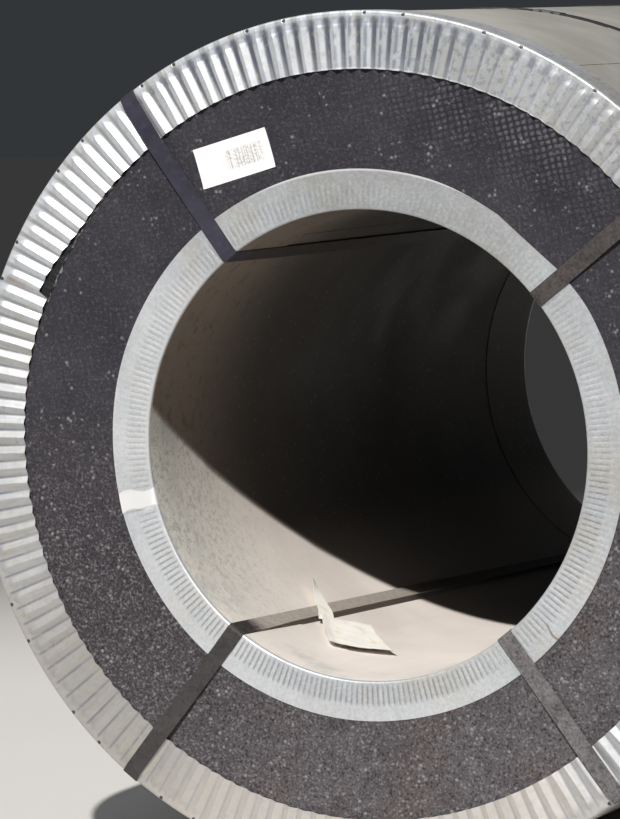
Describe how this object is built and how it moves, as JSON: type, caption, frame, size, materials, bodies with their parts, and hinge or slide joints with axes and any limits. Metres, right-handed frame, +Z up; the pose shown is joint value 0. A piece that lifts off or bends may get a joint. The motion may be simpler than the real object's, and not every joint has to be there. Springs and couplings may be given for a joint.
{
  "type": "steel coil",
  "caption": "Steel strip coil lying on its side, packed with pleated galvanised edge rings, black end discs, an outer wrap, a bore liner and steel straps.",
  "frame": {"origin": "middle of the bore, half way along the coil's width", "axes": "+Y along the bore axis, away from the pictured end; +Z up; +X to the right as the pictured end is seen"},
  "size_m": [0.9251, 1.1666, 0.9252],
  "materials": {
    "coil_steel": "cold rolled strip, edges of the turns, satin",
    "wrap_sheet": "thin galvanised sheet, dusty, matt",
    "liner_sheet": "thin sheet, dusty brown grey, matt",
    "disc_plastic": "black plastic with a woven texture, dusty",
    "ring_sheet": "galvanised strip, spangled, satin",
    "strap_steel": "blue black painted strapping, dusty",
    "seal_steel": "painted crimp seal, worn",
    "label_paper": "white paper, matt"
  },
  "bodies": {
    "root": {"steel_roll": "coil_steel", "outer_wrap": "wrap_sheet", "bore_liner": "liner_sheet", "end_disc_near": "disc_plastic", "end_disc_far": "disc_plastic", "inner_ring_near": "ring_sheet", "inner_ring_far": "ring_sheet", "outer_ring_near": "ring_sheet", "outer_ring_far": "ring_sheet", "eye_strap_1": "strap_steel", "eye_strap_2": "strap_steel", "eye_strap_3": "strap_steel", "eye_strap_4": "strap_steel", "eye_seal_1": "seal_steel", "eye_seal_2": "seal_steel", "eye_seal_3": "seal_steel", "eye_seal_4": "seal_steel", "hoop_strap_1": "strap_steel", "hoop_strap_2": "strap_steel", "hoop_seal_1": "seal_steel", "hoop_seal_2": "seal_steel", "paper_label": "label_paper"}
  },
  "joints": []
}
